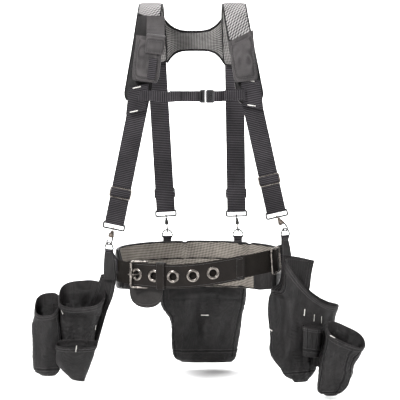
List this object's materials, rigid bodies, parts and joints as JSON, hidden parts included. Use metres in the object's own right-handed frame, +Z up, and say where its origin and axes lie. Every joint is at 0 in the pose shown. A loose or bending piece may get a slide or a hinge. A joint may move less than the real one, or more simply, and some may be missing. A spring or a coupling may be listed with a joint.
{
  "type": "tool belt",
  "caption": "Padded waist belt with a grommet strip and roller buckle, held by a padded shoulder yoke with clip-on straps, and carrying open-topped fabric pouches.",
  "frame": {"origin": "centre of the waist oval at the belt's mid-height", "axes": "+Z up along the wearer, -Y out of the front where the buckle is, +X towards the right of someone looking at the front"},
  "size_m": [0.8505, 0.4089, 0.9926],
  "materials": {
    "air_mesh": "spacer mesh, matte",
    "webbing": "ribbed woven nylon",
    "nylon": "heavy ballistic weave",
    "leather": "smooth, satin",
    "steel": "nickel plated",
    "bronze": "antique bronze plated",
    "plastic": "matte moulded"
  },
  "bodies": {
    "root": {"back_pad": "air_mesh", "belt_webbing": "webbing", "buckle_webbing": "webbing", "grommet_strip": "leather", "grommet_1": "steel", "grommet_2": "steel", "grommet_3": "steel", "grommet_4": "steel", "grommet_5": "steel", "belt_keeper": "leather", "buckle_frame": "steel", "buckle_guard": "leather", "belt_slide": "steel", "ring_tab_front_left": "webbing", "ring_tab_front_right": "webbing", "ring_tab_back_left": "webbing", "ring_tab_back_right": "webbing", "strap_front_left": "webbing", "strap_front_right": "webbing", "strap_back_left": "webbing", "strap_back_right": "webbing", "strap_loop_front_left": "steel", "strap_loop_front_right": "steel", "strap_loop_back_left": "steel", "strap_loop_back_right": "steel", "left_shoulder_pad": "air_mesh", "right_shoulder_pad": "air_mesh", "yoke_bridge": "air_mesh", "phone_pouch": "nylon", "shoulder_pocket": "nylon", "sternum_strap_left": "webbing", "sternum_strap_right": "webbing", "sternum_socket": "plastic"},
    "phone_flap": {"phone_flap": "nylon"},
    "sternum_clip": {"sternum_clip": "plastic"},
    "buckle_roller": {"buckle_roller": "steel"},
    "buckle_prong": {"buckle_prong": "steel"},
    "slider_front_left": {"slider_front_left": "steel"},
    "hook_front_left": {"snap_hook_front_left": "bronze"},
    "gate_front_left": {"snap_gate_front_left": "steel"},
    "ring_front_left": {"d_ring_front_left": "steel"},
    "slider_front_right": {"slider_front_right": "steel"},
    "hook_front_right": {"snap_hook_front_right": "bronze"},
    "gate_front_right": {"snap_gate_front_right": "steel"},
    "ring_front_right": {"d_ring_front_right": "steel"},
    "slider_back_left": {"slider_back_left": "steel"},
    "hook_back_left": {"snap_hook_back_left": "bronze"},
    "gate_back_left": {"snap_gate_back_left": "steel"},
    "ring_back_left": {"d_ring_back_left": "steel"},
    "slider_back_right": {"slider_back_right": "steel"},
    "hook_back_right": {"snap_hook_back_right": "bronze"},
    "gate_back_right": {"snap_gate_back_right": "steel"},
    "ring_back_right": {"d_ring_back_right": "steel"},
    "left_bag": {"left_main_pouch": "nylon", "left_lower_pocket": "nylon", "left_tube_pocket": "nylon"},
    "right_bag": {"right_main_pouch": "nylon", "right_tool_slots": "nylon", "right_small_pouch": "nylon"},
    "centre_bag": {"centre_pouch": "nylon"}
  },
  "joints": [
    {"name": "left_bag_swing", "type": "hinge", "parent": "root", "child": "left_bag", "pos_m": [-0.238, -0.049, -0.012], "axis": [0, 1, 0], "range_deg": [0, 25]},
    {"name": "right_bag_swing", "type": "hinge", "parent": "root", "child": "right_bag", "pos_m": [0.232, -0.058, 0.046], "axis": [0, -1, 0], "range_deg": [0, 25]},
    {"name": "centre_bag_swing", "type": "hinge", "parent": "root", "child": "centre_bag", "pos_m": [0.018, 0.158, -0.034], "axis": [1, 0, 0], "range_deg": [0, 25]},
    {"name": "phone_flap_lift", "type": "hinge", "parent": "root", "child": "phone_flap", "pos_m": [-0.10368, -0.0965, 0.60572], "axis": [-0.9925, 0, 0.1219], "range_deg": [0, 100]},
    {"name": "sternum_clip_pull", "type": "slide", "parent": "root", "child": "sternum_clip", "axis": [-1, 0, 0], "range_m": [0, 0.012]},
    {"name": "buckle_roller_spin", "type": "hinge", "parent": "root", "child": "buckle_roller", "pos_m": [-0.17018, -0.114, 0.005], "axis": [0, 0, 1], "continuous": true},
    {"name": "buckle_prong_lift", "type": "hinge", "parent": "root", "child": "buckle_prong", "pos_m": [-0.12577, -0.12193, 0.005], "axis": [0, 0, 1], "range_deg": [0, 4]},
    {"name": "slider_front_left_up", "type": "slide", "parent": "root", "child": "slider_front_left", "axis": [-0.0187, -0.9959, -0.0885], "range_m": [0, 0.1]},
    {"name": "slider_front_right_up", "type": "slide", "parent": "root", "child": "slider_front_right", "axis": [0.0222, -0.9951, -0.0968], "range_m": [0, 0.1]},
    {"name": "slider_back_left_up", "type": "slide", "parent": "root", "child": "slider_back_left", "axis": [0.0071, -0.9913, -0.1315], "range_m": [0, 0.1]},
    {"name": "slider_back_right_up", "type": "slide", "parent": "root", "child": "slider_back_right", "axis": [0.0027, -0.9911, -0.1334], "range_m": [0, 0.1]},
    {"name": "hook_front_left_swing", "type": "hinge", "parent": "root", "child": "hook_front_left", "pos_m": [-0.21809, -0.04464, 0.11188], "axis": [0.9554, -0.0159, -0.295], "range_deg": [-2, 2]},
    {"name": "gate_front_left_open", "type": "hinge", "parent": "hook_front_left", "child": "gate_front_left", "pos_m": [-0.22808, -0.05145, 0.08998], "axis": [0.6656, -0.7428, -0.0726], "range_deg": [0, 25], "stiffness_Nm_per_rad": 0.01, "springref_deg": -11.46},
    {"name": "ring_front_left_swing", "type": "hinge", "parent": "root", "child": "ring_front_left", "pos_m": [-0.229, -0.051, 0.05689], "axis": [-0.8, 0.6, 0], "range_deg": [-5, 5]},
    {"name": "hook_front_right_swing", "type": "hinge", "parent": "root", "child": "hook_front_right", "pos_m": [0.20383, -0.04451, 0.14245], "axis": [0.8438, 0.144, 0.517], "range_deg": [-2, 2]},
    {"name": "gate_front_right_open", "type": "hinge", "parent": "hook_front_right", "child": "gate_front_right", "pos_m": [0.21463, -0.05212, 0.1212], "axis": [-0.6335, -0.7724, -0.0452], "range_deg": [0, 25], "stiffness_Nm_per_rad": 0.01, "springref_deg": -11.46},
    {"name": "ring_front_right_swing", "type": "hinge", "parent": "root", "child": "ring_front_right", "pos_m": [0.2235, -0.059, 0.0944], "axis": [-0.8, -0.6, 0], "range_deg": [-5, 5]},
    {"name": "hook_back_left_swing", "type": "hinge", "parent": "root", "child": "hook_back_left", "pos_m": [-0.0872, 0.15798, 0.12165], "axis": [0.9963, 0.0035, 0.0862], "range_deg": [-2, 2]},
    {"name": "gate_back_left_open", "type": "hinge", "parent": "hook_back_left", "child": "gate_back_left", "pos_m": [-0.0851, 0.15136, 0.09761], "axis": [0.9963, 0.0035, 0.0862], "range_deg": [0, 25], "stiffness_Nm_per_rad": 0.01, "springref_deg": -11.46},
    {"name": "ring_back_left_swing", "type": "hinge", "parent": "root", "child": "ring_back_left", "pos_m": [-0.084, 0.154, 0.0648], "axis": [-1, 0, 0], "range_deg": [-5, 5]},
    {"name": "hook_back_right_swing", "type": "hinge", "parent": "root", "child": "hook_back_right", "pos_m": [0.10431, 0.158, 0.12164], "axis": [0.995, 0.0237, 0.0966], "range_deg": [-2, 2]},
    {"name": "gate_back_right_open", "type": "hinge", "parent": "hook_back_right", "child": "gate_back_right", "pos_m": [0.10673, 0.14688, 0.09936], "axis": [0.995, 0.0237, 0.0966], "range_deg": [0, 25], "stiffness_Nm_per_rad": 0.01, "springref_deg": -11.46},
    {"name": "ring_back_right_swing", "type": "hinge", "parent": "root", "child": "ring_back_right", "pos_m": [0.108, 0.147, 0.06629], "axis": [-1, 0, 0], "range_deg": [-5, 5]}
  ]
}
